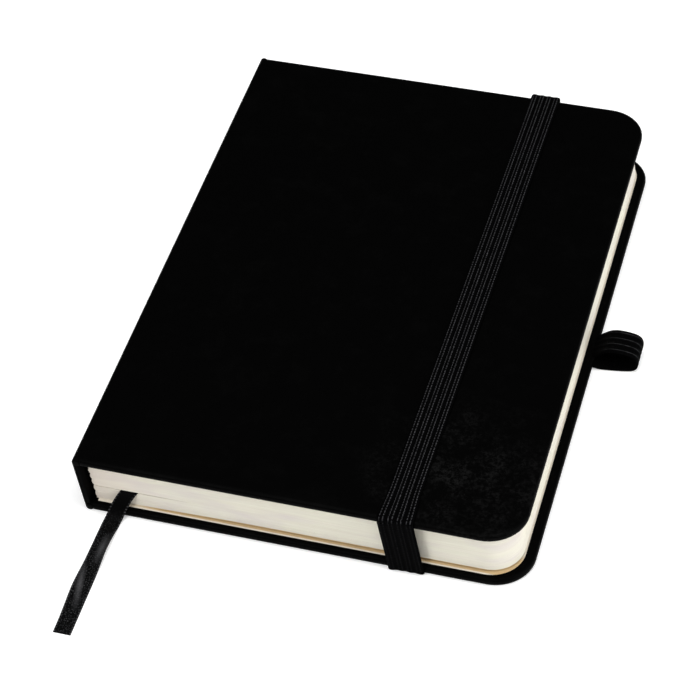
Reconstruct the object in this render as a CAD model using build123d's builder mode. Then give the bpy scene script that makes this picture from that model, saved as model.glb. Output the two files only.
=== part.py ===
"""Pocket notebook: hard covers, thread-sewn sections, elastic closure, pen loop, ribbon marker.

Millimetres. The origin is the middle of the back cover's outer face. X runs from the spine to the
fore-edge, Y from the tail to the head, Z from the back cover up to the front cover.
Sketches are drawn in book coordinates, counted from the spine's outer face and the tail edge.
"""
from math import asin, cos, hypot, sin
import os

from build123d import *

# ---- whole book
WIDTH = 105.0            # A6 class: spine to fore-edge
LENGTH = 148.0           # A6 class: tail to head
THICK = 16.9             # closed, over both covers
LEAN = 1.6               # closed, the front cover lies this far towards the spine side
CORNER_R = 9.5           # cover corners at the fore-edge
EDGE_R = 0.5             # softened outer edges of the covers

# ---- covers
SKIN = 0.3               # leatherette
BOARD = 1.5
COVER = SKIN + BOARD + SKIN      # board with the leatherette turned in over its edge
TURN_IN = 14.0           # width of the turned-in border on the inside
PASTEDOWN = 0.15
PASTE_INSET = 1.5        # pastedown edge to cover edge
FORE_PASTE_INSET = 2.4

# ---- spine, between its two hinge lines
HINGE = 1.0              # hinge line to the outer faces; also the folded leatherette's radius
PLAY = 0.05              # running gap round the fold
SPAN = hypot(LEAN, THICK - 2 * HINGE)    # from fold to fold
TILT = asin(LEAN / SPAN)                 # spine from upright while the book is closed
COVER_START = HINGE + 0.35
BOARD_START = 2 * HINGE + PLAY + SKIN
SPINE_CARD = 0.9
LINING = 0.2

# ---- page block
SQUARE = 2.2             # covers overhang the pages at head and tail
PAGE_START = 2.2         # the sections' fold line
PAGE_END = WIDTH - 2.5   # the pages' fore-edge
PAGE_R = 7.5
FLYLEAF = 0.15
END_GAP = 0.35           # between each cover's lining and its free leaf
REST_GAP = 0.04          # between pieces that lie on each other and slide
MARKER_GAP = 0.3         # the opening that holds the marker
SECTIONS = 6
BELOW_MARKER = 2         # sections under the marker: the back pile
FOLD_R = 0.5
THREAD = 0.3
THREAD_END = 14.0        # sewing stops this far from head and tail

# ---- elastic closure
BAND_X = 77.2            # band's middle on the back cover, from the spine
BAND_W = 7.5
BAND_T = 0.9
SLOT_Y = 6.0             # where the band goes up into the back board
ANCHOR_Y = 20.0          # glued end

# ---- pen loop
LOOP_Y = 76.3            # middle
LOOP_W = 7.8
LOOP_T = 0.6
LOOP_ROOT = 93.0         # glued end, from the spine

# ---- marker ribbon
RIBBON_W = 4.2
RIBBON_T = 0.2

BLOCK_LOW = COVER + PASTEDOWN + END_GAP + FLYLEAF + REST_GAP
BLOCK_HIGH = THICK - BLOCK_LOW
STACK_GAPS = MARKER_GAP + (SECTIONS - 2) * REST_GAP
SECTION = (BLOCK_HIGH - BLOCK_LOW - STACK_GAPS) / SECTIONS
BACK, FRONT = "back", "front"


def level(z, slip=0):
    """Plane at height z whose sketch coordinates start at the spine's face and the tail edge."""
    return Plane(origin=(slip - WIDTH / 2, -LENGTH / 2, z))


def profile(y):
    """Upright plane across the book at y: sketch x is the distance from the spine, sketch y is height."""
    return Plane(origin=(-WIDTH / 2, y - LENGTH / 2, 0), x_dir=(1, 0, 0), z_dir=(0, -1, 0))


def spine_profile(y):
    """Plane across the leaning spine at y, from the back fold: sketch y runs up to the front fold."""
    return Plane(origin=(HINGE - WIDTH / 2, y - LENGTH / 2, HINGE),
                 x_dir=(cos(TILT), 0, sin(TILT)), z_dir=(0, -1, 0))


def heights(side, low, high):
    """Two heights counted from one cover's outer face."""
    return (low, high) if side == BACK else (THICK - high, THICK - low)


def lean_at(z):
    """How far the leaning book has shifted at a height."""
    return -LEAN * (z - HINGE) / (THICK - 2 * HINGE)


def cover_slip(side):
    return 0 if side == BACK else -LEAN


def add_leaf(z, x, y, radius, mode=Mode.ADD, slip=0):
    """Flat slab between two heights, with round corners at the fore-edge."""
    with BuildSketch(level(z[0], slip)) as outline:
        with Locations(((x[0] + x[1]) / 2, (y[0] + y[1]) / 2)):
            Rectangle(x[1] - x[0], y[1] - y[0])
        if radius:
            fillet(outline.vertices().group_by(Axis.X)[-1], radius)
    extrude(outline.sketch, amount=z[1] - z[0], mode=mode)


def add_block(x, y, z, mode=Mode.ADD, slip=0):
    """Square-cornered block in book coordinates."""
    add_leaf(z, x, y, 0, mode, slip)


def add_spine_bar(x, up, y):
    """Flat bar of the spine: across its thickness, up from the back fold, along the book."""
    with BuildSketch(spine_profile(y[1])) as section:
        with Locations(((x[0] + x[1]) / 2, (up[0] + up[1]) / 2)):
            Rectangle(x[1] - x[0], up[1] - up[0])
    extrude(section.sketch, amount=y[1] - y[0])


def add_fold(up, radius, y, mode=Mode.ADD):
    """Round bar along a fold of the spine."""
    with BuildSketch(spine_profile(y[1])) as section:
        with Locations((0, up)):
            Circle(radius)
    extrude(section.sketch, amount=y[1] - y[0], mode=mode)


def add_skin(side):
    """Leatherette round a board: outer face, four edges and the turned-in border."""
    add_leaf(heights(side, 0, COVER), (COVER_START, WIDTH), (0, LENGTH), CORNER_R,
             slip=cover_slip(side))
    add_fold(0 if side == BACK else SPAN, HINGE + PLAY, (-1, LENGTH + 1), Mode.SUBTRACT)


def hollow_skin(side):
    """Room for the board, and the window inside the turned-in border."""
    slip = cover_slip(side)
    add_leaf(heights(side, SKIN, SKIN + BOARD), (BOARD_START, WIDTH - SKIN),
             (SKIN, LENGTH - SKIN), CORNER_R - SKIN, Mode.SUBTRACT, slip)
    add_leaf(heights(side, SKIN, COVER), (TURN_IN, WIDTH - TURN_IN),
             (TURN_IN, LENGTH - TURN_IN), 0, Mode.SUBTRACT, slip)


def outer_edges(part, side):
    """The cover's outer rim, all but its hinge side."""
    face = part.faces().sort_by(Axis.Z)[0 if side == BACK else -1]
    return face.outer_wire().edges().sort_by(Axis.X)[1:]


def add_board(side):
    add_leaf(heights(side, SKIN, SKIN + BOARD), (BOARD_START, WIDTH - SKIN),
             (SKIN, LENGTH - SKIN), CORNER_R - SKIN, slip=cover_slip(side))


def add_pastedown(side):
    """Endpaper glued over the turned-in border, dipping onto the bare board inside it."""
    slip = cover_slip(side)
    paper_x = (BOARD_START + 0.4, WIDTH - FORE_PASTE_INSET)
    paper_y = (PASTE_INSET, LENGTH - PASTE_INSET)
    window_x = (TURN_IN, WIDTH - TURN_IN)
    window_y = (TURN_IN, LENGTH - TURN_IN)
    add_leaf(heights(side, COVER, COVER + PASTEDOWN), paper_x, paper_y, CORNER_R - PASTE_INSET,
             slip=slip)
    add_block(window_x, window_y, heights(side, COVER - SKIN, COVER), slip=slip)
    inner_x = (window_x[0] + PASTEDOWN, window_x[1] - PASTEDOWN)
    inner_y = (window_y[0] + PASTEDOWN, window_y[1] - PASTEDOWN)
    add_block(inner_x, inner_y, heights(side, COVER - SKIN + PASTEDOWN, COVER + PASTEDOWN),
              Mode.SUBTRACT, slip)


def section_heights(number):
    """Bottom and top of a section, counted from 1 at the back."""
    low = BLOCK_LOW + (number - 1) * (SECTION + REST_GAP)
    if number > BELOW_MARKER:
        low += MARKER_GAP - REST_GAP
    return low, low + SECTION


def add_section(number):
    """Folded leaves of one section as a slab, rounded at the fold and at the fore-edge corners."""
    low, high = section_heights(number)
    add_leaf((low, high), (PAGE_START, PAGE_END), (SQUARE, LENGTH - SQUARE), PAGE_R,
             slip=lean_at((low + high) / 2))


def soften_fold(part):
    """Round the two long edges at the fold."""
    fillet(part.edges().filter_by(Axis.Y).group_by(Axis.X)[0], FOLD_R)


def add_thread(number):
    """Sewing thread along the outside of a section's fold."""
    low, high = section_heights(number)
    middle = (low + high) / 2
    add_block((PAGE_START - THREAD, PAGE_START), (THREAD_END, LENGTH - THREAD_END),
              (middle - THREAD / 2, middle + THREAD / 2), slip=lean_at(middle))


# ---- back cover
band_x = (BAND_X - BAND_W / 2, BAND_X + BAND_W / 2)
loop_y = (LOOP_Y - LOOP_W / 2, LOOP_Y + LOOP_W / 2)
loop_root_z = (COVER - 2 * LOOP_T, COVER)
FIT = 0.02               # skin of air round what passes through a cover


def add_band_room():
    """Recesses for the band's ends: along the outer face, up through the board, along its inside."""
    wide = (band_x[0] - FIT, band_x[1] + FIT)
    for y_edge, y_slot, y_end in ((-1, SLOT_Y, ANCHOR_Y),
                                  (LENGTH + 1, LENGTH - SLOT_Y, LENGTH - ANCHOR_Y)):
        outer = sorted((y_edge, y_slot))
        step = FIT if y_end > y_slot else -FIT
        inner = sorted((y_slot - (BAND_T + FIT) * (1 if y_end > y_slot else -1), y_end + step))
        add_block(wide, (outer[0], outer[1] + FIT) if y_end > y_slot else (outer[0] - FIT, outer[1]),
                  (-1, BAND_T + FIT), Mode.SUBTRACT)
        add_block(wide, inner, (BAND_T, SKIN + BOARD), Mode.SUBTRACT)


def add_loop_room():
    """Slot in the fore-edge for the pen loop's glued ends."""
    add_block((LOOP_ROOT - FIT, WIDTH + 1), (loop_y[0] - FIT, loop_y[1] + FIT),
              (loop_root_z[0] - FIT, loop_root_z[1] + 1), Mode.SUBTRACT)


with BuildPart() as back_cover_skin:
    add_skin(BACK)
    fillet(outer_edges(back_cover_skin, BACK), EDGE_R)
    hollow_skin(BACK)
    add_band_room()
    add_loop_room()
back_cover_skin.part.label = "back_cover_skin"

with BuildPart() as back_cover_board:
    add_board(BACK)
    add_band_room()
    add_loop_room()
back_cover_board.part.label = "back_cover_board"

with BuildPart() as back_pastedown:
    add_pastedown(BACK)
back_pastedown.part.label = "back_pastedown"

# ---- free leaves of the endpapers
page_y = (SQUARE, LENGTH - SQUARE)
free_leaf_z = (BLOCK_LOW - REST_GAP - FLYLEAF, BLOCK_LOW - REST_GAP)

with BuildPart() as back_flyleaf:
    add_leaf(heights(BACK, *free_leaf_z), (PAGE_START, PAGE_END), page_y, PAGE_R)
back_flyleaf.part.label = "back_flyleaf"

with BuildPart() as front_flyleaf:
    add_leaf(heights(FRONT, *free_leaf_z), (PAGE_START, PAGE_END), page_y, PAGE_R, slip=-LEAN)
front_flyleaf.part.label = "front_flyleaf"

# ---- front cover
with BuildPart() as front_cover_skin:
    add_skin(FRONT)
    fillet(outer_edges(front_cover_skin, FRONT), EDGE_R)
    hollow_skin(FRONT)
front_cover_skin.part.label = "front_cover_skin"

with BuildPart() as front_cover_board:
    add_board(FRONT)
front_cover_board.part.label = "front_cover_board"

with BuildPart() as front_pastedown:
    add_pastedown(FRONT)
front_pastedown.part.label = "front_pastedown"

# ---- spine
card_up = (COVER - HINGE + 2 * PLAY, SPAN - COVER + HINGE - 2 * PLAY)
card_x = (SKIN - HINGE, SKIN + SPINE_CARD - HINGE)

with BuildPart() as spine_skin:
    add_spine_bar((-HINGE, card_x[0]), (0, SPAN), (0, LENGTH))
    add_fold(0, HINGE, (0, LENGTH))
    add_fold(SPAN, HINGE, (0, LENGTH))
spine_skin.part.label = "spine_skin"

with BuildPart() as spine_card:
    add_spine_bar(card_x, card_up, (SKIN, LENGTH - SKIN))
spine_card.part.label = "spine_card"

with BuildPart() as spine_lining:
    add_spine_bar((card_x[1], card_x[1] + LINING), (card_up[0] + 0.3, card_up[1] - 0.3),
                  (8, LENGTH - 8))
spine_lining.part.label = "spine_lining"

# ---- sections and their sewing
sections, threads = [], []
for number in range(1, SECTIONS + 1):
    with BuildPart() as section:
        add_section(number)
        soften_fold(section)
    section.part.label = f"section_{number}"
    sections.append(section)

    with BuildPart() as thread:
        add_thread(number)
    thread.part.label = f"section_{number}_thread"
    threads.append(thread)

# ---- elastic closure: one strap, in five lengths so that its front span can move
def add_leg(y):
    """One upright of the band, leaning with the book."""
    with BuildSketch(profile(y[1])) as section:
        with BuildLine():
            Polyline((band_x[0], BAND_T), (band_x[1], BAND_T), (band_x[1] - LEAN, THICK),
                     (band_x[0] - LEAN, THICK), close=True)
        make_face()
    extrude(section.sketch, amount=y[1] - y[0])


with BuildPart() as elastic_band:
    add_block(band_x, (-BAND_T, LENGTH + BAND_T), (THICK, THICK + BAND_T), slip=-LEAN)
    fillet(elastic_band.edges().filter_by(Axis.X).group_by(Axis.Z)[-1], BAND_T * 0.7)
elastic_band.part.label = "elastic_band"

with BuildPart() as elastic_leg_tail:
    add_leg((-BAND_T, 0))
elastic_leg_tail.part.label = "elastic_leg_tail"

with BuildPart() as elastic_leg_head:
    add_leg((LENGTH, LENGTH + BAND_T))
elastic_leg_head.part.label = "elastic_leg_head"

with BuildPart() as elastic_anchor_tail:
    add_block(band_x, (-BAND_T, SLOT_Y), (0, BAND_T))
    fillet(elastic_anchor_tail.edges().filter_by(Axis.X).group_by(Axis.Y)[0].group_by(Axis.Z)[0],
           BAND_T * 0.7)
    add_block(band_x, (SLOT_Y - BAND_T, ANCHOR_Y), (BAND_T, SKIN + BOARD))
elastic_anchor_tail.part.label = "elastic_anchor_tail"

with BuildPart() as elastic_anchor_head:
    add_block(band_x, (LENGTH - SLOT_Y, LENGTH + BAND_T), (0, BAND_T))
    fillet(elastic_anchor_head.edges().filter_by(Axis.X).group_by(Axis.Y)[-1].group_by(Axis.Z)[0],
           BAND_T * 0.7)
    add_block(band_x, (LENGTH - ANCHOR_Y, LENGTH - SLOT_Y + BAND_T), (BAND_T, SKIN + BOARD))
elastic_anchor_head.part.label = "elastic_anchor_head"

# ---- pen loop: a strap from the slot in the fore-edge, round and back, resting on the table
loop_outline = [(WIDTH, loop_root_z[0]), (WIDTH + 1.2, 0), (WIDTH + 8.5, 0), (WIDTH + 10.6, 2.8),
                (WIDTH + 8.7, 5.65), (WIDTH + 3.4, 5.65), (WIDTH, loop_root_z[1])]
LOOP_BEND = 1.5
LOOP_ROOT_BEND = 0.4

with BuildPart() as pen_loop:
    with BuildSketch(profile(loop_y[1])) as loop_section:
        with BuildLine():
            Polyline(*loop_outline, close=True)
        make_face()
        around = loop_section.vertices().sort_by(Axis.X)
        fillet(around[3:], LOOP_BEND)
        fillet(loop_section.vertices().sort_by(Axis.X)[2], LOOP_ROOT_BEND)
        offset(amount=-LOOP_T, mode=Mode.SUBTRACT)
        with Locations(((LOOP_ROOT + WIDTH + 0.6) / 2, sum(loop_root_z) / 2)):
            Rectangle(WIDTH + 0.6 - LOOP_ROOT, 2 * LOOP_T)
    extrude(amount=LOOP_W)
pen_loop.part.label = "pen_loop"

# ---- ribbon marker inside the book, slanting from the spine's head to the tail
marker_z = section_heights(BELOW_MARKER)[1] + 0.03
MARKER_TAIL_X = 10.65    # ribbon's middle where it leaves the pages
MARKER_HEAD_X = 4.6
exit_y = SQUARE

with BuildPart() as ribbon_marker:
    with BuildSketch(level(marker_z)):
        with BuildLine():
            Polyline((MARKER_TAIL_X - RIBBON_W / 2, exit_y), (MARKER_TAIL_X + RIBBON_W / 2, exit_y),
                     (MARKER_HEAD_X + RIBBON_W / 2, LENGTH - SQUARE),
                     (MARKER_HEAD_X - RIBBON_W / 2, LENGTH - SQUARE), close=True)
        make_face()
    extrude(amount=RIBBON_T)
ribbon_marker.part.label = "ribbon_marker"

# ---- free end of the ribbon: middle line as (distance from spine, y, height)
RUN_END_Y = -35.7
table_z = RIBBON_T / 2 + 0.05
ribbon_route = [(MARKER_TAIL_X, exit_y, marker_z + RIBBON_T / 2), (9.9, 1.4, 5.8),
                (8.4, 0.0, 3.0), (7.6, -1.2, 0.7), (7.2, -3.2, table_z), (7.1, -13.5, table_z),
                (7.1, -25.0, table_z), (7.2, RUN_END_Y, table_z)]


def cut_height(before, after):
    """Vertical height of the ribbon's upright cut where its middle line runs between two points."""
    return RIBBON_T * hypot(after[1] - before[1], after[2] - before[2]) / abs(after[1] - before[1])


with BuildPart() as ribbon_tail:
    last = len(ribbon_route) - 1
    for i, (x, y, z) in enumerate(ribbon_route):
        tall = cut_height(ribbon_route[i - 1], ribbon_route[i + 1]) if 0 < i < last else RIBBON_T
        with BuildSketch(profile(y)):
            with Locations((x, max(z, tall / 2 + 0.02))):
                Rectangle(RIBBON_W, tall)
    loft(ruled=True)
ribbon_tail.part.label = "ribbon_tail"

pieces = [back_cover_skin, back_cover_board, back_pastedown, back_flyleaf,
          front_cover_skin, front_cover_board, front_pastedown, front_flyleaf,
          spine_skin, spine_card, spine_lining, *sections, *threads,
          elastic_band, elastic_leg_tail, elastic_leg_head, elastic_anchor_tail,
          elastic_anchor_head, pen_loop, ribbon_marker, ribbon_tail]

os.makedirs("parts", exist_ok=True)
for piece in pieces:
    export_step(piece.part, f"parts/{piece.part.label}.step")
    print(piece.part.label, round(piece.part.volume, 2), len(piece.part.solids()))

route_length = sum(hypot(b[0] - a[0], b[1] - a[1], b[2] - a[2])
                   for a, b in zip(ribbon_route, ribbon_route[1:]))
print("ribbon length", round(route_length, 1), "volume over section x length",
      round(ribbon_tail.part.volume / (route_length * RIBBON_W * RIBBON_T), 3))
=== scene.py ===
"""Looks of the pocket notebook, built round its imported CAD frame. Metres, same frame as the CAD."""
import math
import random

import bmesh
import bpy
from mathutils import Matrix, Vector


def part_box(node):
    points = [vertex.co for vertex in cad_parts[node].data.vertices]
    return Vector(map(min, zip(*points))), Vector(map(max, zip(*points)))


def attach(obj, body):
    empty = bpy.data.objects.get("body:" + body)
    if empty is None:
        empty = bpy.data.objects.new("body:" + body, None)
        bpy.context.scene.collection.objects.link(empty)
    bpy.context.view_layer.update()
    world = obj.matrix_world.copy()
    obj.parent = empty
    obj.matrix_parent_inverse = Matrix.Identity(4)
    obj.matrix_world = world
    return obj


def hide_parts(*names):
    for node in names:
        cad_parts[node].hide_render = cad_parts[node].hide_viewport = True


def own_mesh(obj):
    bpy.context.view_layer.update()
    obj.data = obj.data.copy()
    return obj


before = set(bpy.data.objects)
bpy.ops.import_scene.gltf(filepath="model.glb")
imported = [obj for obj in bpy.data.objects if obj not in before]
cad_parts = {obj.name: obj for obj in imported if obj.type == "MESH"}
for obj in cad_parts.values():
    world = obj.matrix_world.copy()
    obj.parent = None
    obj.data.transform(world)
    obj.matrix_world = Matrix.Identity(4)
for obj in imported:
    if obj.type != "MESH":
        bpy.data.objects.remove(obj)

MM = 0.001
random.seed(11)
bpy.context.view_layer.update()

# ------------------------------------------------------------------ places and sizes
back_lo, back_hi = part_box("back_cover_skin")
front_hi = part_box("front_cover_skin")[1]
spine_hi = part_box("spine_skin")[1]
band_lo, band_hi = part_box("elastic_band")

TAIL, HEAD = back_lo[1], back_hi[1]
FORE = back_hi[0]            # the back cover's fore-edge
COVER = back_hi[2] - back_lo[2]      # a cover's thickness
TOP = front_hi[2]
LEAN = back_hi[0] - front_hi[0]      # how far the front cover lies back towards the spine
FOLD_R = 1.0 * MM            # radius of the spine's two folds
BACK_FOLD = Vector((spine_hi[0] - FOLD_R, 0, FOLD_R))
FRONT_FOLD = BACK_FOLD + Vector((-LEAN, 0, TOP - 2 * FOLD_R))
CORNER_R = 9.5 * MM          # cover corners at the fore-edge
PAGE_R = 7.5 * MM            # page corners at the fore-edge
BAND_T = band_hi[2] - TOP    # the closure's thickness, width and middle
BAND_W = band_hi[0] - band_lo[0]
BAND_MID = (band_lo[0] + band_hi[0]) / 2
LEG_W = BAND_W + 0.9 * MM    # the strap spreads where it goes round the edges
DRIFT = 0.65 * MM            # the pulled band runs a little out of square


# ------------------------------------------------------------------ mesh helpers
def make(name, verts, faces, material, smooth=True):
    """A mesh object from points and faces, with its normals turned outwards."""
    mesh = bpy.data.meshes.new(name)
    mesh.from_pydata([tuple(v) for v in verts], [], faces)
    bm = bmesh.new()
    bm.from_mesh(mesh)
    bmesh.ops.recalc_face_normals(bm, faces=bm.faces)
    bm.to_mesh(mesh)
    bm.free()
    for polygon in mesh.polygons:
        polygon.use_smooth = smooth
    obj = bpy.data.objects.new(name, mesh)
    bpy.context.scene.collection.objects.link(obj)
    obj.data.materials.append(material)
    return obj


def sharpen(obj, degrees):
    """Keep edges crisp where faces turn by more than this."""
    bm = bmesh.new()
    bm.from_mesh(obj.data)
    for edge in bm.edges:
        if len(edge.link_faces) == 2 and edge.calc_face_angle(0) > math.radians(degrees):
            edge.smooth = False
    bm.to_mesh(obj.data)
    bm.free()


def lofted(rings):
    """Points and faces of a closed form through rings that all have the same count."""
    n = len(rings[0])
    verts = [p for ring in rings for p in ring]
    faces = []
    for k in range(len(rings) - 1):
        for i in range(n):
            j = (i + 1) % n
            faces.append((k * n + i, k * n + j, (k + 1) * n + j, (k + 1) * n + i))
    faces.append(tuple(range(n))[::-1])
    faces.append(tuple((len(rings) - 1) * n + i for i in range(n)))
    return verts, faces


def outline(x0, x1, y0, y1, fore_r, spine_r, z, along=22, arc=12, small=4):
    """Rounded rectangle at height z: tail edge, fore-edge, head edge, spine side.

    It has along points on each side, arc at each fore-edge corner and small at the other two.
    """
    points = []

    def run(a, b, count):
        """A straight side from a up to b."""
        for i in range(count):
            points.append(a.lerp(b, i / count))

    def bend(cx, cy, r, start, count):
        """A quarter circle about cx, cy from the angle start."""
        for i in range(count):
            angle = math.radians(start + 90 * i / count)
            points.append(Vector((cx + r * math.cos(angle), cy + r * math.sin(angle), z)))

    run(Vector((x0 + spine_r, y0, z)), Vector((x1 - fore_r, y0, z)), along)
    bend(x1 - fore_r, y0 + fore_r, fore_r, -90, arc)
    run(Vector((x1, y0 + fore_r, z)), Vector((x1, y1 - fore_r, z)), along)
    bend(x1 - fore_r, y1 - fore_r, fore_r, 0, arc)
    run(Vector((x1 - fore_r, y1, z)), Vector((x0 + spine_r, y1, z)), along)
    bend(x0 + spine_r, y1 - spine_r, spine_r, 90, small)
    run(Vector((x0, y1 - spine_r, z)), Vector((x0, y0 + spine_r, z)), along)
    bend(x0 + spine_r, y0 + spine_r, spine_r, 180, small)
    return points


def smoothstep(a, b, x):
    """0 before a, 1 after b, and an even S between them."""
    t = min(max((x - a) / (b - a), 0.0), 1.0)
    return t * t * (3 - 2 * t)


def curve_points(name, controls, resolution):
    """Points along a smooth curve that starts and ends on its first and last control points."""
    curve = bpy.data.curves.new(name, "CURVE")
    curve.dimensions = "3D"
    spline = curve.splines.new("NURBS")
    spline.points.add(len(controls) - 1)
    for point, control in zip(spline.points, controls):
        point.co = (*control, 1)
    spline.order_u = 3
    spline.use_endpoint_u = True
    curve.resolution_u = resolution
    guide = bpy.data.objects.new(name, curve)
    route = bpy.data.meshes.new_from_object(guide)
    path = [v.co.copy() for v in route.vertices]
    bpy.data.objects.remove(guide)
    return path


# ------------------------------------------------------------------ materials
SHEEN_CORNER = (0.034, -0.058, TOP)    # metres, where the painted sheen lies on the front cover
RIBS = 4                 # of the band and of the pen loop
STITCH = 0.82            # mm from one light stitch of the elastic to the next
STITCH_SHARE = 0.68      # how much of that is stitch
LINE_HALF = 0.055        # half a stitch line, as a share of a rib
KNIT = 0.62              # mm from one cross thread of the elastic to the next
WEFT = 0.42              # mm from one cross thread of the ribbon to the next
SELVEDGE = 1.7           # mm from the ribbon's middle to its selvedges
TICK = 0.85              # mm from one light tick of a selvedge to the next


def material(name, colour, roughness, specular=0.5):
    """A new material, with its node tree and its shader."""
    mat = bpy.data.materials.new(name)
    mat.use_nodes = True
    shader = mat.node_tree.nodes["Principled BSDF"]
    shader.inputs["Base Color"].default_value = (*colour, 1)
    shader.inputs["Roughness"].default_value = roughness
    shader.inputs["Specular IOR Level"].default_value = specular
    return mat, mat.node_tree, shader


def node(tree, kind, inputs=None, **settings):
    """A shader node with its settings and its unlinked inputs."""
    made = tree.nodes.new(kind)
    for key, value in settings.items():
        setattr(made, key, value)
    for key, value in (inputs or {}).items():
        made.inputs[key].default_value = value
    return made


def place(tree, scale):
    """Object coordinates in millimetres, stretched by scale."""
    coordinates = node(tree, "ShaderNodeTexCoord")
    mapping = node(tree, "ShaderNodeMapping", {"Scale": [1000 * s for s in scale]})
    tree.links.new(coordinates.outputs["Object"], mapping.inputs["Vector"])
    return mapping.outputs["Vector"]


def ramp(tree, value, low, high, colour_a, colour_b):
    """A colour that goes from a to b as value goes from low to high."""
    made = node(tree, "ShaderNodeValToRGB")
    made.color_ramp.elements[0].position, made.color_ramp.elements[1].position = low, high
    made.color_ramp.elements[0].color = (*colour_a, 1)
    made.color_ramp.elements[1].color = (*colour_b, 1)
    tree.links.new(value, made.inputs["Fac"])
    return made.outputs["Color"]


def bump(tree, shader, heights):
    """Chain of bumps: each (height socket, strength, distance in mm)."""
    last = None
    for value, strength, distance in heights:
        made = node(tree, "ShaderNodeBump", {"Strength": strength, "Distance": distance * MM})
        tree.links.new(value, made.inputs["Height"])
        if last is not None:
            tree.links.new(last, made.inputs["Normal"])
        last = made.outputs["Normal"]
    tree.links.new(last, shader.inputs["Normal"])


def noise(tree, vector, scale, detail=3.0, rough=0.55):
    """Cloudy noise from 0 to 1, about 0.5 on average."""
    made = node(tree, "ShaderNodeTexNoise", {"Scale": scale, "Detail": detail, "Roughness": rough})
    tree.links.new(vector, made.inputs["Vector"])
    return made.outputs["Fac"]


def maths(tree, operation, a, b=None, c=None):
    """One operation on sockets or numbers."""
    made = node(tree, "ShaderNodeMath", operation=operation)
    for socket, value in zip(made.inputs, (a, b, c)):
        if value is None:
            continue
        if isinstance(value, (int, float)):
            socket.default_value = value
        else:
            tree.links.new(value, socket)
    return made.outputs["Value"]


def clamped(value):
    """The same socket, held between 0 and 1."""
    value.node.use_clamp = True
    return value


def ramped(tree, value, slope, offset):
    """slope * value + offset, held between 0 and 1."""
    return clamped(maths(tree, "MULTIPLY_ADD", value, slope, offset))


def mixed(tree, share, first, second):
    """A colour from first to second by share; each colour is a socket or three numbers."""
    made = node(tree, "ShaderNodeMixRGB")
    tree.links.new(share, made.inputs["Fac"])
    for key, colour in (("Color1", first), ("Color2", second)):
        if isinstance(colour, tuple):
            made.inputs[key].default_value = (*colour, 1)
        else:
            tree.links.new(colour, made.inputs[key])
    return made.outputs["Color"]


def split_xyz(tree, vector):
    """The X, Y and Z sockets of a vector."""
    made = node(tree, "ShaderNodeSeparateXYZ")
    tree.links.new(vector, made.inputs["Vector"])
    return made.outputs


def leatherette():
    """Black coated cover cloth: fine pebble grain, faint cloudy tone, and painted sheen in grainy
    patches near one corner.
    """
    mat, tree, shader = material("leatherette", (0.002, 0.002, 0.002), 0.5, 0.022)
    at = place(tree, (1, 1, 1))
    grain = node(tree, "ShaderNodeTexVoronoi", {"Scale": 2.6, "Randomness": 1.0}, feature="SMOOTH_F1")
    tree.links.new(at, grain.inputs["Vector"])
    fine = noise(tree, at, 5.5, 4.0)
    broad = noise(tree, at, 0.045, 2.0)
    cloudiness = noise(tree, at, 0.13, 5.0, 0.7)
    base = ramp(tree, cloudiness, 0.5, 0.78, (0.0002, 0.0002, 0.0002), (0.0010, 0.0010, 0.0010))
    away = node(tree, "ShaderNodeVectorMath", {1: SHEEN_CORNER}, operation="DISTANCE")
    tree.links.new(node(tree, "ShaderNodeTexCoord").outputs["Object"], away.inputs[0])
    sheen_near_corner = ramped(tree, away.outputs["Value"], -38.0, 1.0)
    patches = ramped(tree, cloudiness, 5.0, -2.0)
    grains = ramped(tree, noise(tree, at, 1.1, 3.0, 0.7), 5.0, -2.2)
    # painted sheen: grainy patches of lighter colour near the front cover's corner
    share = maths(tree, "MULTIPLY", maths(tree, "MULTIPLY", sheen_near_corner, patches), grains)
    tree.links.new(mixed(tree, share, base, (0.0085, 0.0085, 0.0085)), shader.inputs["Base Color"])
    tree.links.new(ramp(tree, cloudiness, 0.35, 0.75, (0.56, 0.56, 0.56), (0.44, 0.44, 0.44)),
                   shader.inputs["Roughness"])
    bump(tree, shader, [(broad, 0.25, 1.2), (grain.outputs["Distance"], 0.35, 0.05),
                        (fine, 0.3, 0.03)])
    return mat


def paper(name, light, dark, edge_lines=False):
    """Uncoated cream paper: fibres. A block's edge has its leaves' streaks, warmer by the spine."""
    mat, tree, shader = material(name, light, 0.85, 0.15)
    at = place(tree, (1, 1, 1))
    fibre = noise(tree, at, 3.0, 5.0, 0.65)
    tint = noise(tree, place(tree, (0.03, 0.03, 0.5)), 1.0, 3.0)
    if edge_lines:
        leaves = noise(tree, place(tree, (0.05, 0.05, 7.5)), 1.0, 2.0, 0.6)
        streaks = node(tree, "ShaderNodeMixRGB", {"Fac": 0.5}, blend_type="MULTIPLY")
        tree.links.new(ramp(tree, tint, 0.3, 0.7, light, dark), streaks.inputs["Color1"])
        tree.links.new(ramp(tree, leaves, 0.32, 0.62, (0.84, 0.82, 0.78), (1, 1, 1)),
                       streaks.inputs["Color2"])
        cloud = noise(tree, place(tree, (0.06, 0.06, 0.25)), 1.0, 2.0)
        clouded = mixed(tree, ramped(tree, cloud, 2.6, -1.15), streaks.outputs["Color"],
                        (0.62, 0.565, 0.55))
        near_spine = ramped(tree, split_xyz(tree, at)["X"], -0.03, -0.95)
        warmed = mixed(tree, maths(tree, "MULTIPLY", near_spine, 0.75), clouded,
                       (0.77, 0.655, 0.585))
        tree.links.new(warmed, shader.inputs["Base Color"])
        bump(tree, shader, [(leaves, 0.3, 0.03), (fibre, 0.12, 0.02)])
    else:
        tree.links.new(ramp(tree, fibre, 0.3, 0.75, light, dark), shader.inputs["Base Color"])
        bump(tree, shader, [(fibre, 0.2, 0.02)])
    return mat


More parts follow.
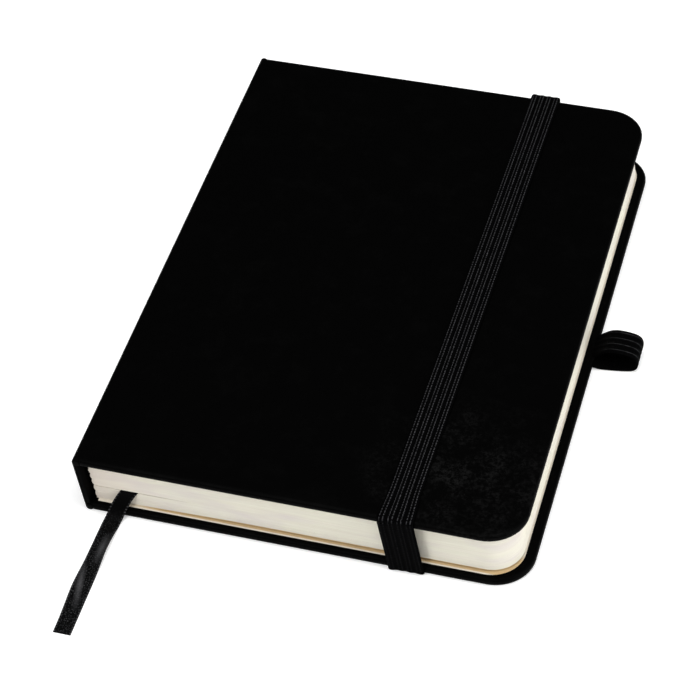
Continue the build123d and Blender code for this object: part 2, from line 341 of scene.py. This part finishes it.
def painted_shade_endpaper():
    """Endpaper with painted shade: tan where its tail border lies in the shadowed gap under the
    block.

    It stays cream on its outermost 2 mm, deeper than 7 to 9 mm in, and near the spine.
    """
    mat, tree, shader = material("endpaper_painted_shade", (0.7, 0.6, 0.45), 0.85, 0.15)
    at = place(tree, (1, 1, 1))
    fibre = noise(tree, at, 3.0, 5.0, 0.65)
    spot = split_xyz(tree, at)
    inward = maths(tree, "SUBTRACT", spot["Y"], TAIL * 1000)
    rim = ramped(tree, inward, -4.0, 7.8)
    deep = ramped(tree, inward, 0.5, -3.5)
    near_spine = ramped(tree, spot["X"], -0.12, -4.2)
    pale = maths(tree, "MAXIMUM", maths(tree, "MAXIMUM", rim, deep), near_spine)
    # painted shade: the tan of the shadowed gap under the block
    gap_shade = ramp(tree, fibre, 0.3, 0.75, (0.66, 0.49, 0.27), (0.58, 0.42, 0.22))
    cream = ramp(tree, fibre, 0.3, 0.75, (0.80, 0.745, 0.64), (0.76, 0.70, 0.60))
    tree.links.new(mixed(tree, pale, gap_shade, cream), shader.inputs["Base Color"])
    bump(tree, shader, [(fibre, 0.2, 0.02)])
    return mat


def strap_place(tree):
    """Coordinates along a strap: x across in mm, y along in mm."""
    made = node(tree, "ShaderNodeAttribute", attribute_name="strap", attribute_type="GEOMETRY")
    split = split_xyz(tree, made.outputs["Vector"])
    return made.outputs["Vector"], split["X"], split["Y"]


def elastic(name, width, line_colour, line_share, painted_lit_run=None):
    """Knitted elastic: raised ribs with lines of lighter stitches, and painted shade that dims the
    lines where the strap doesn't face up.

    width is in mm. line_share is how far a line lies from its rib's middle, as a share of the
    rib, so that 0 gives one line to a rib. With painted_lit_run, in mm along the strap, the lines
    are unbroken and show only on that stretch, as painted light.
    """
    mat, tree, shader = material(name, (0.003, 0.003, 0.003), 0.8, 0.015)
    at, across, along = strap_place(tree)
    pitch = width / RIBS
    phase = maths(tree, "FRACT", maths(tree, "ADD", maths(tree, "DIVIDE", across, pitch), RIBS / 2))
    from_mid = maths(tree, "ABSOLUTE", maths(tree, "SUBTRACT", phase, 0.5))
    near_line = maths(tree, "ABSOLUTE", maths(tree, "SUBTRACT", from_mid, line_share))
    line = maths(tree, "LESS_THAN", near_line, LINE_HALF)
    uneven = noise(tree, at, 0.9, 2.0)
    if not painted_lit_run:
        # stitches lie unevenly along a line, and no two lines keep step
        jitter = maths(tree, "MULTIPLY", uneven, 0.9)
        row = maths(tree, "FLOOR", maths(tree, "MULTIPLY", across, 2.3))
        stitch = maths(tree, "ADD", maths(tree, "MULTIPLY_ADD", along, 1 / STITCH, jitter),
                       maths(tree, "MULTIPLY", row, 0.37))
        dash = maths(tree, "LESS_THAN", maths(tree, "FRACT", stitch), STITCH_SHARE)
        line = maths(tree, "MULTIPLY", line, dash)
    worn = maths(tree, "MULTIPLY_ADD", uneven, 1.6, -0.25)
    lit = clamped(maths(tree, "MULTIPLY", line, worn))
    # painted shade: the lines dim as the strap turns away from facing up
    facing = node(tree, "ShaderNodeNewGeometry").outputs["Normal"]
    lit = maths(tree, "MULTIPLY", lit, ramped(tree, split_xyz(tree, facing)["Z"], 1.1, 0.13))
    # painted light: the lines show only on this stretch of the strap
    if painted_lit_run:
        start, end = painted_lit_run
        rise = ramped(tree, along, 0.3, -0.3 * start)
        fall = ramped(tree, along, -0.14, 0.14 * end)
        lit = maths(tree, "MULTIPLY", lit, maths(tree, "MULTIPLY", rise, fall))
    tree.links.new(mixed(tree, lit, (0.0006, 0.0006, 0.0007), line_colour),
                   shader.inputs["Base Color"])
    knit = maths(tree, "SINE", maths(tree, "MULTIPLY", along, 2 * math.pi / KNIT))
    ridge = maths(tree, "COSINE", maths(tree, "MULTIPLY", maths(tree, "SUBTRACT", phase, 0.5),
                                        2 * math.pi))
    bump(tree, shader, [(ridge, 0.6, 0.12), (knit, 0.35, 0.05), (uneven, 0.3, 0.06)])
    return mat


def satin():
    """Black satin ribbon: weave, selvedge ticks, painted glints, painted sheen where it curls.

    The painted sheen has two patches: one right of the middle, 17 mm down the loose end, and one that
    slants from left to right about 28 mm down.
    """
    mat, tree, shader = material("ribbon_satin", (0.001, 0.001, 0.001), 0.42, 0.022)
    at, across, along = strap_place(tree)

    def within(value, middle, reach):
        """1 at middle, falling to 0 at reach on either side of it."""
        off = maths(tree, "ABSOLUTE", maths(tree, "SUBTRACT", value, middle))
        return ramped(tree, off, -1 / reach, 1.0)

    grit = noise(tree, at, 3.4, 1.5, 0.6)
    # painted glints as light speckles, with painted shade: fewer of them where the ribbon leaves the
    # pages
    clear_of_page_shade = ramped(tree, along, 0.10, -0.45)
    glint_speckle = maths(tree, "MULTIPLY", ramped(tree, grit, 9.0, -5.2), clear_of_page_shade)
    # painted sheen: two lighter patches where the ribbon curls
    first = maths(tree, "MULTIPLY", within(across, 0.7, 1.3), within(along, 17.0, 5.0))
    slant = maths(tree, "MULTIPLY_ADD", along, 0.167, -5.3)
    second = maths(tree, "MULTIPLY", within(across, slant, 1.0), within(along, 28.0, 7.5))
    sheen = clamped(maths(tree, "MULTIPLY", maths(tree, "ADD", first, second),
                          maths(tree, "MULTIPLY", grit, 1.4)))
    selvedge = maths(tree, "GREATER_THAN", maths(tree, "ABSOLUTE", across), SELVEDGE)
    step = maths(tree, "FRACT", maths(tree, "DIVIDE", along, TICK))
    tick = maths(tree, "GREATER_THAN", step, 0.6)
    ticks = maths(tree, "MULTIPLY", maths(tree, "MULTIPLY", selvedge, tick), 0.55)
    # painted glints and sheen, and the selvedge ticks, lighten the base colour
    bright = maths(tree, "MAXIMUM", maths(tree, "MULTIPLY", glint_speckle, 0.8),
                   maths(tree, "MAXIMUM", ticks, sheen))
    tree.links.new(mixed(tree, bright, (0.0009, 0.0009, 0.001), (0.080, 0.080, 0.084)),
                   shader.inputs["Base Color"])
    slanted = maths(tree, "MULTIPLY_ADD", across, 0.5, along)
    weft = maths(tree, "SINE", maths(tree, "MULTIPLY", slanted, 2 * math.pi / WEFT))
    bump(tree, shader, [(weft, 0.4, 0.03), (grit, 0.4, 0.04)])
    return mat


def plain_detail(name, colour, roughness, scale, depth):
    """Small hidden parts: colour mottled by a noise, with matching bump."""
    mat, tree, shader = material(name, colour, roughness, 0.2)
    value = noise(tree, place(tree, (1, 1, 1)), scale, 4.0, 0.6)
    dark = tuple(0.72 * c for c in colour)
    tree.links.new(ramp(tree, value, 0.3, 0.7, dark, colour), shader.inputs["Base Color"])
    bump(tree, shader, [(value, 0.4, depth)])
    return mat


LEATHER = leatherette()
PAGES = paper("page_paper", (0.745, 0.73, 0.62), (0.725, 0.69, 0.60), edge_lines=True)
FACE = paper("leaf_paper", (0.80, 0.755, 0.66), (0.77, 0.72, 0.62))
ENDPAPER = paper("endpaper", (0.77, 0.70, 0.58), (0.73, 0.655, 0.53))
SHADED_ENDPAPER = painted_shade_endpaper()
ELASTIC = elastic("elastic_knit", 7.5, (0.062, 0.062, 0.066), line_share=0.20)
LOOP_ELASTIC = elastic("loop_knit", 7.8, (0.038, 0.038, 0.040), line_share=0.0,
                       painted_lit_run=(14.5, 28))
SATIN = satin()
BOARD = plain_detail("grey_board", (0.36, 0.33, 0.28), 0.9, 1.6, 0.06)
THREAD = plain_detail("sewing_thread", (0.72, 0.70, 0.64), 0.6, 6.0, 0.05)
CLOTH = plain_detail("lining_cloth", (0.66, 0.63, 0.56), 0.85, 3.5, 0.08)


# ------------------------------------------------------------------ covers
def cover(name, fold, outer_z, inner_z, shift, body, node_name):
    """A board in its leatherette: rounded rim, hollow along its fold, flat faces."""
    middle = (outer_z + inner_z) / 2
    half = abs(outer_z - inner_z) / 2
    rim = 0.86 * half
    sign = 1 if outer_z > inner_z else -1
    face_insets = (6.0, 2.4)     # mm in from the rim, rings that keep the faces flat
    steps = 18                   # round the rim

    def fold_side(z):
        """The cover's spine side stands a hair clear of the round fold."""
        reach = FOLD_R + 0.03 * MM
        rise = min(abs(z - fold.z), reach * 0.985)
        return fold.x + math.sqrt(reach * reach - rise * rise)

    def at(z, inset):
        """The cover's outline at height z, drawn in by inset."""
        return outline(fold_side(z), FORE + shift - inset, TAIL + inset, HEAD - inset,
                       CORNER_R - inset, 0.25 * MM, z)

    rings = [at(middle - sign * half, inset * MM) for inset in face_insets]
    for i in range(steps + 1):
        angle = math.pi * (i / steps - 0.5)
        up = sign * (half - rim + rim * abs(math.sin(angle))) * (1 if angle > 0 else -1)
        if 2 * i == steps:
            up = 0
        rings.append(at(middle + up, rim * (1 - math.cos(angle))))
    rings += [at(middle + sign * half, inset * MM) for inset in reversed(face_insets)]
    obj = make(name, *lofted(rings), LEATHER)
    sharpen(obj, 50)
    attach(obj, body)
    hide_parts(node_name)


cover("back_cover_leatherette", BACK_FOLD, 0.0, COVER, 0, "back_cover", "back_cover_skin")
cover("front_cover_leatherette", FRONT_FOLD, TOP, TOP - COVER, -LEAN, "front_cover",
      "front_cover_skin")


# ------------------------------------------------------------------ spine
def spine():
    """Leatherette of the spine: a flat plate with one round fold at each cover, and its turn-ins."""
    span = (FRONT_FOLD - BACK_FOLD).length
    up = (FRONT_FOLD - BACK_FOLD).normalized()
    across = Vector((up.z, 0, -up.x))
    plate = 0.3 * MM
    inner = math.sqrt(FOLD_R ** 2 - (FOLD_R - plate) ** 2)
    start = math.degrees(math.atan2(inner, -(FOLD_R - plate)))
    turn = start + 180           # degrees round each fold
    bead_steps, flat_steps, length_steps = 24, 12, 30
    profile = []
    for i in range(bead_steps + 1):
        angle = math.radians(start - turn * i / bead_steps)
        profile.append((FOLD_R * math.cos(angle), FOLD_R * math.sin(angle)))
    for i in range(1, flat_steps):
        profile.append((-FOLD_R, span * i / flat_steps))
    for i in range(bead_steps + 1):
        angle = math.radians(180 - turn * i / bead_steps)
        profile.append((FOLD_R * math.cos(angle), span + FOLD_R * math.sin(angle)))
    for i in range(1, flat_steps):
        profile.append((-FOLD_R + plate, span - inner - (span - 2 * inner) * i / flat_steps))
    ends = [(0.0, 0.34), (0.05, 0.2), (0.16, 0.07), (0.34, 0.0)]     # mm in, mm drawn in
    stations = [(TAIL + d * MM, s * MM) for d, s in ends]
    stations += [(TAIL + (HEAD - TAIL) * i / length_steps, 0) for i in range(1, length_steps)]
    stations += [(HEAD - d * MM, s * MM) for d, s in reversed(ends)]
    rings = []
    for y, shrink in stations:       # each end is drawn in towards the folds' own middles
        ring = []
        for u, v in profile:
            centre_v = min(max(v, 0), span)
            reach = math.hypot(u, v - centre_v)
            share = 1 - shrink / FOLD_R if reach > 0.5 * FOLD_R else 1
            point = BACK_FOLD + across * (u * share) + up * (centre_v + (v - centre_v) * share)
            ring.append(Vector((point.x, y, point.z)))
        rings.append(ring)
    obj = make("spine_leatherette", *lofted(rings), LEATHER)
    sharpen(obj, 55)
    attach(obj, "spine")
    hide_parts("spine_skin")
    set_in, depth = 0.12 * MM, 14 * MM
    turn_in("tail", across, up, span, TAIL + set_in, TAIL + depth)
    turn_in("head", across, up, span, HEAD - depth, HEAD - set_in)


def turn_in(label, across, up, span, y0, y1):
    """The leatherette turned over an end of the spine, inside as well as out."""
    outer, inner = -0.9 * MM, 0.43 * MM
    clear = 0.97 * MM        # from each fold line
    chamfer = 0.2 * MM
    rounding = [(0.0, 0.28), (0.08, 0.12), (0.25, 0.0)]      # mm in from the end, mm drawn in
    stations = [(y0 + d * MM, p * MM) for d, p in rounding]
    stations += [(y1 - d * MM, p * MM) for d, p in reversed(rounding)]
    rings = []
    for y, pinch in stations:
        u0, u1 = outer + pinch, inner - pinch
        v0, v1 = clear + pinch, span - clear - pinch
        ring = []
        for u, v in ((u0, v0), (u1 - chamfer, v0), (u1, v0 + chamfer),
                     (u1, v1 - chamfer), (u1 - chamfer, v1), (u0, v1)):
            point = BACK_FOLD + across * u + up * v
            ring.append(Vector((point.x, y, point.z)))
        rings.append(ring)
    obj = make(f"spine_turn_in_{label}", *lofted(rings), LEATHER)
    sharpen(obj, 40)
    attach(obj, "spine")


spine()


# ------------------------------------------------------------------ pages
SECTIONS = 6
LEAVES = 16                  # shown on each section's edge
LEAF_FACES = (0.06, 0.94)    # heights of a leaf's two faces, as shares of its room
PAST_BOX = 0.018 * MM        # the outer leaves close part of the gap to the next section
STAND = 0.32 * MM            # how far the lowest leaf rises over its CAD box, out to the fore-edge
SAG = 0.62 * MM              # how much lower than that it lies at the spine
FOLD_OUT = 0.95 * MM         # radius of a section's folded back
LARGEST_EDGE = 0.004         # square metres: only the two outer leaves' faces are larger
section_1_lo, section_1_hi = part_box("section_1")
PAGE_X = section_1_lo[0]


def settle(x, z):
    """The lowest leaves drop onto the endpaper near the spine and stand clear of it beyond."""
    low, high = section_1_lo[2], section_1_hi[2]
    if z > high:
        return z
    weight = (high - z) / (high - low)
    lift = STAND - SAG * (1 - smoothstep(6 * MM, 40 * MM, x - PAGE_X))
    return z + lift * weight


def section(number):
    """One section: leaves whose trimmed edges wander a little, folded at the spine.

    The first section settles at the spine. The second rises beyond the ribbon, to the third.
    """
    name = f"section_{number}"
    lo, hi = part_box(name)
    low, high = lo[2] - PAST_BOX, hi[2] + PAST_BOX
    thick = (high - low) / LEAVES
    middle = (low + high) / 2
    shear = -LEAN / (TOP - 2 * FOLD_R)
    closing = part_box("section_3")[0][2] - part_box("section_2")[1][2] - 0.04 * MM
    rings = []
    trim = [0.0, 0.0, 0.0]           # mm off the fore-edge, the tail and the head
    for leaf in range(LEAVES):
        trim = [max(min(t + random.uniform(-0.012, 0.012), 0.03), -0.01) for t in trim]
        for k in LEAF_FACES:
            z = low + thick * (leaf + k)
            rise = min(abs(z - middle), 0.86 * MM)
            fold = 0.55 * (FOLD_OUT - math.sqrt(FOLD_OUT ** 2 - rise * rise))
            pinch = 0.006 * MM if k > 0.5 else 0.0
            ring = outline(lo[0] + fold + random.uniform(0, 0.03) * MM,
                           hi[0] - trim[0] * MM - pinch,
                           lo[1] + trim[1] * MM + pinch, hi[1] - trim[2] * MM - pinch,
                           PAGE_R, 0.3 * MM, z, along=14, arc=18, small=2)
            for p in ring:
                p.x += shear * (z - middle)
                if number == 1:
                    p.z = settle(p.x, p.z)
                if number == 2:
                    share = (p.z - low) / (high - low)
                    p.z += share * closing * smoothstep(14 * MM, 27 * MM, p.x - lo[0])
            rings.append(ring)
    obj = make(f"{name}_leaves", *lofted(rings), PAGES)
    sharpen(obj, 25)
    obj.data.materials.append(FACE)
    for polygon in obj.data.polygons:
        if polygon.area > LARGEST_EDGE:
            polygon.material_index = 1
    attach(obj, name)
    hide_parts(name)


for number in range(1, SECTIONS + 1):
    section(number)


def back_free_leaf():
    """The endpaper's free leaf lies against the lowest section, and dips with it at the spine."""
    lo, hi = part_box("back_flyleaf")
    thick = 0.13 * MM
    steps = 40
    rings = []
    for k in range(steps + 1):
        x = lo[0] + (hi[0] - lo[0]) * k / steps
        z = settle(x, section_1_lo[2]) - 0.02 * MM
        over = max(0.0, x - (hi[0] - PAGE_R))
        cut = PAGE_R - math.sqrt(max(PAGE_R ** 2 - over ** 2, 0))
        y0, y1 = lo[1] + cut, hi[1] - cut
        rings.append([Vector((x, y0, z - thick)), Vector((x, y1, z - thick)),
                      Vector((x, y1, z)), Vector((x, y0, z))])
    # painted shade: the free leaf takes the tan of the shadowed gap under the block
    obj = make("back_free_leaf", *lofted(rings), SHADED_ENDPAPER, smooth=False)
    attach(obj, "back_cover")
    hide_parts("back_flyleaf")


back_free_leaf()


# ------------------------------------------------------------------ straps
RIB_SWELL = 0.10 * MM        # height of the band's ribs
SLOT_IN = 6.0 * MM           # from the back cover's edge to the slot that takes the band
BEND = BAND_T * 0.62         # radius of the band's middle where it goes round an edge
BEND_STEPS = 8


def tangent(path, i):
    """Direction of path at its point number i."""
    return (path[min(i + 1, len(path) - 1)] - path[max(i - 1, 0)]).normalized()


def strap(name, path, normals, width, thick, ribs, swell, mat, side=None, cups=None):
    """A woven or knitted strap along path; its width runs along side, or square to path and normal.

    width is one number, or a list with one for each point. cups lifts the two edges at each point.
    """
    across_count = 8 * max(ribs, 2)
    phase = 0.5 if ribs % 2 == 0 else 0      # an even number of ribs has a groove in the middle
    nominal = BAND_W if mat is ELASTIC else width
    rings, marks = [], []
    run = 0.0
    for i, (centre, normal) in enumerate(zip(path, normals)):
        across = side or tangent(path, i).cross(normal).normalized()
        wide = width[i] if isinstance(width, list) else width
        right_cup, left_cup = cups[i] if cups else (0, 0)
        if i:
            run += (centre - path[i - 1]).length
        ring, mark = [], []
        for face in (1, -1):
            for k in range(across_count + 1):
                u = (k / across_count - 0.5) * face
                edge = 1 - max(0.0, (abs(u) - 0.46) / 0.04) ** 2 * 0.8     # thinner at its edges
                rib = swell * (0.5 + 0.5 * math.cos(2 * math.pi * (u * ribs + phase)))
                offset = (thick / 2 - swell + rib) * edge
                lift = right_cup * (u + 0.5) ** 2 + left_cup * (0.5 - u) ** 2
                ring.append(centre + across * (u * wide) + normal * (offset * face + lift))
                mark.append((u * nominal * 1000, run * 1000, 0))
        rings.append(ring)
        marks.append(mark)
    verts, faces = lofted(rings)
    obj = make(name, verts, faces, mat)
    attribute = obj.data.attributes.new("strap", "FLOAT_VECTOR", "POINT")
    attribute.data.foreach_set("vector", [c for mark in marks for point in mark for c in point])
    sharpen(obj, 70)
    return obj


def over_edge(edge, way, centre_z):
    """Points and normals of the band from an upright's top, round the cover's edge, onto its face."""
    corner_y = edge - way * (BEND - BAND_T / 2)
    part = []
    for i in range(BEND_STEPS + 1):
        angle = math.pi / 2 * i / BEND_STEPS
        part.append((Vector((0, corner_y + way * BEND * math.cos(angle),
                             centre_z - BEND + BEND * math.sin(angle))),
                     Vector((0, way * math.cos(angle), math.sin(angle)))))
    foot = (Vector((0, part[0][0].y, TOP - 0.55 * MM)), Vector((0, way, 0)))
    return [foot] + part


def band_span():
    """The closure across the front cover, and round its tail and head edges."""
    centre_z = TOP + BAND_T / 2
    first = over_edge(TAIL, -1, centre_z)
    last = over_edge(HEAD, 1, centre_z)[::-1]
    start_y, end_y = first[-1][0].y, last[0][0].y
    steps = 60
    middle = []
    for i in range(1, steps):
        y = start_y + (end_y - start_y) * i / steps
        middle.append((Vector((0, y, centre_z)), Vector((0, 0, 1))))
    path, normals, widths = [], [], []
    for point, normal in first + middle + last:
        point.x = BAND_MID + DRIFT * (2 * (point.y - TAIL) / (HEAD - TAIL) - 1)
        path.append(point)
        normals.append(normal)
        spread = 1 - smoothstep(-0.5, 9, (point.y - TAIL) * 1000)
        widths.append(BAND_W + (LEG_W - BAND_W) * spread)
    obj = strap("elastic_span", path, normals, widths, BAND_T, RIBS, RIB_SWELL, ELASTIC)
    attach(obj, "closure")
    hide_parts("elastic_band")


band_span()


def band_leg(name, edge, way, cad):
    """One upright, as it stands with the book shut; the real strap shortens as the closure comes
    down.
    """
    low, top = BAND_T, TOP - 0.5 * MM
    anchor_lo, anchor_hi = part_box("elastic_anchor_tail")
    foot_x = (anchor_lo[0] + anchor_hi[0]) / 2
    top_x = BAND_MID + way * DRIFT
    y = edge + way * BAND_T / 2
    top_w = LEG_W if way < 0 else BAND_W
    steps = 24
    path, widths = [], []
    for i in range(steps + 1):
        t = i / steps
        path.append(Vector((foot_x + (top_x - foot_x) * t, y, low + (top - low) * t)))
        widths.append(LEG_W + (top_w - LEG_W) * t)
    normals = [Vector((0, way, 0))] * len(path)
    obj = strap(name, path, normals, widths, BAND_T * 0.99, RIBS, RIB_SWELL, ELASTIC)
    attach(obj, "back_cover")
    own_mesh(obj)
    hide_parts(cad)


band_leg("elastic_upright_tail", TAIL, -1, "elastic_leg_tail")
band_leg("elastic_upright_head", HEAD, 1, "elastic_leg_head")


def band_foot(name, edge, way, cad):
    """The strap turns under the back cover and runs to the slot that takes it."""
    lo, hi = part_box(cad)
    mid = (lo[0] + hi[0]) / 2
    corner = edge - way * (BEND - BAND_T / 2)
    path = [Vector((mid, edge + way * BAND_T / 2, BAND_T * 1.12))]
    normals = [Vector((0, way, 0))]
    for i in range(BEND_STEPS + 1):
        angle = math.pi / 2 * i / BEND_STEPS
        path.append(Vector((mid, corner + way * BEND * math.cos(angle),
                            BAND_T / 2 + BEND - BEND * math.sin(angle))))
        normals.append(Vector((0, way * math.cos(angle), -math.sin(angle))))
    under, steps = SLOT_IN - BAND_T, 8
    for i in range(1, steps + 1):
        path.append(Vector((mid, corner - way * under * i / steps, BAND_T / 2 + 0.02 * MM)))
        normals.append(Vector((0, 0, -1)))
    obj = strap(name, path, normals, LEG_W, BAND_T * 0.94, RIBS, RIB_SWELL, ELASTIC)
    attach(obj, "back_cover")
    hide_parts(cad)


band_foot("elastic_foot_tail", TAIL, -1, "elastic_anchor_tail")
band_foot("elastic_foot_head", HEAD, 1, "elastic_anchor_head")


def pen_loop():
    """One strap out of the fore-edge, round a pen's width and back in."""
    loop_lo, loop_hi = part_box("pen_loop")
    mid_y = (loop_lo[1] + loop_hi[1]) / 2
    width = loop_hi[1] - loop_lo[1]
    highest = loop_hi[2] - 0.3 * MM
    loop_route = [(-4, 0.9, -1.1), (0.1, 0.75, -1.1), (1.6, 0.30, -1.0), (4.5, 0.30, -0.7),
                  (7.4, 0.30, -0.3), (10.3, 0.7, 0.0), (10.8, 3.0, 0.1), (9.9, 5.0, 0.2),
                  (6.2, 5.38, 0.5), (3.0, 4.8, 0.8), (0.9, 2.9, 1.0), (-0.8, 1.6, 1.1),
                  (-2.5, 1.3, 1.2)]        # mm out from the fore-edge, up, and along the edge
    controls = [(FORE + x * MM, mid_y + shift * MM, min(z * MM, highest))
                for x, z, shift in loop_route]
    path = curve_points("loop_route", controls, 10)
    normals = []
    for i in range(len(path)):
        along = tangent(path, i)
        normals.append(Vector((along.z, 0, -along.x)))
    obj = strap("pen_loop_strap", path, normals, width, 0.58 * MM, RIBS, 0.05 * MM, LOOP_ELASTIC)
    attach(obj, "back_cover")
    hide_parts("pen_loop")


pen_loop()

# ------------------------------------------------------------------ ribbon
SPINE_X = back_lo[0] - 1.35 * MM
RIBBON_W = 4.2 * MM
# mm from SPINE_X, from the tail edge and up from the table, down to the cut end
ribbon_route = [(10.65, 2.2, 6.58), (9.9, 1.4, 5.8), (8.4, 0.0, 3.0), (7.6, -1.2, 0.7),
                (7.2, -3.2, 0.15), (7.1, -13.5, 0.15), (7.1, -25.0, 0.15), (7.2, -35.7, 0.15)]


def ribbon():
    """The loose end: it drops from the pages onto the table, and there its edges curl a little."""
    path = curve_points("ribbon_route", [(SPINE_X + x * MM, TAIL + y * MM, z * MM)
                                         for x, y, z in ribbon_route], 14)
    side = Vector((1, 0, 0))
    normals, cups = [], []
    run = 0.0
    for i, point in enumerate(path):
        normals.append(tangent(path, i).cross(side).normalized())
        run += (point - path[i - 1]).length * 1000 if i else 0
        on_table = smoothstep(9, 12, run)
        cups.append((on_table * 1.1 * MM * math.exp(-((run - 17) / 5.5) ** 2),
                     on_table * 1.0 * MM * math.exp(-((run - 29) / 6.0) ** 2)))
    obj = strap("ribbon_end", path, normals, RIBBON_W, 0.2 * MM, 1, 0.0, SATIN, side, cups)
    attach(obj, "section_2")
    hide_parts("ribbon_tail")


ribbon()


def ribbon_inside():
    """The ribbon's stretch between the pages, which snakes a little on its way to the head."""
    lo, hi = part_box("ribbon_marker")
    middle_z = (lo[2] + hi[2]) / 2
    tail_end = Vector((hi[0] - RIBBON_W / 2, lo[1], middle_z))
    head_end = Vector((lo[0] + RIBBON_W / 2, hi[1], middle_z))
    snake = 0.5 * MM
    steps = 50
    path = []
    for i in range(steps + 1):
        aside = Vector((snake * math.sin(i / steps * math.pi * 2), 0, 0))
        path.append(tail_end.lerp(head_end, i / steps) + aside)
    normals = [Vector((0, 0, 1))] * len(path)
    obj = strap("ribbon_in_pages", path, normals, RIBBON_W, 0.19 * MM, 1, 0.0, SATIN)
    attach(obj, "section_2")
    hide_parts("ribbon_marker")


ribbon_inside()

# ------------------------------------------------------------------ CAD nodes that stay
finishes = {"_board": BOARD, "_card": BOARD, "_thread": THREAD, "_lining": CLOTH,
            "_pastedown": ENDPAPER, "_flyleaf": ENDPAPER, "_skin": LEATHER}
for name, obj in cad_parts.items():
    for ending, finish in finishes.items():
        if name.endswith(ending):
            obj.data.materials.clear()
            # the back pastedown takes the endpaper with painted shade in the gap under the block
            obj.data.materials.append(SHADED_ENDPAPER if name == "back_pastedown" else finish)

# ------------------------------------------------------------------ floor, light, camera
floor_mat, _, floor_shader = material("floor", (0.9, 0.9, 0.9), 0.8, 0.1)
floor_shader.inputs["Emission Color"].default_value = (1, 1, 1, 1)
floor_shader.inputs["Emission Strength"].default_value = 0.3
bpy.ops.mesh.primitive_plane_add(size=6)
floor = bpy.context.object
floor.name = "floor"
floor.data.materials.append(floor_mat)


def lamp(name, place_at, size, energy):
    """A square soft light that points at the origin."""
    data = bpy.data.lights.new(name, "AREA")
    data.size = size
    data.energy = energy
    obj = bpy.data.objects.new(name, data)
    bpy.context.scene.collection.objects.link(obj)
    obj.location = place_at
    obj.rotation_euler = (-Vector(place_at)).to_track_quat("-Z", "Y").to_euler()


lamp("key", (-0.35, -0.75, 0.75), 0.3, 4.2)
lamp("fill", (0.9, -0.1, 0.4), 0.6, 6.5)
lamp("overhead", (0.05, -0.1, 1.3), 1.2, 12)

world = bpy.data.worlds.new("studio")
bpy.context.scene.world = world
world.use_nodes = True
background = world.node_tree.nodes["Background"]
background.inputs["Color"].default_value = (1, 1, 1, 1)
background.inputs["Strength"].default_value = 0.15
bpy.context.scene.view_settings.view_transform = "Standard"

AZIMUTH, ELEVATION, ROLL = math.radians(18.04), math.radians(45.85), math.radians(-3.34)
LENS = 126.51
DISTANCE = 0.59373
AIM = Vector((-0.00413, -0.01747, 0.008))
toward = Vector((math.sin(AZIMUTH) * math.cos(ELEVATION),
                 -math.cos(AZIMUTH) * math.cos(ELEVATION), math.sin(ELEVATION)))
right = Vector((0, 0, 1)).cross(toward).normalized()
up = toward.cross(right)
turned_right = right * math.cos(ROLL) + up * math.sin(ROLL)
turned_up = up * math.cos(ROLL) - right * math.sin(ROLL)
camera_data = bpy.data.cameras.new("camera")
camera_data.lens = LENS
camera_data.sensor_width = 36
camera_data.clip_start, camera_data.clip_end = 0.01, 20
camera = bpy.data.objects.new("camera", camera_data)
bpy.context.scene.collection.objects.link(camera)
camera.matrix_world = Matrix.Translation(AIM + toward * DISTANCE) @ Matrix(
    (turned_right, turned_up, toward)).transposed().to_4x4()
bpy.context.scene.camera = camera
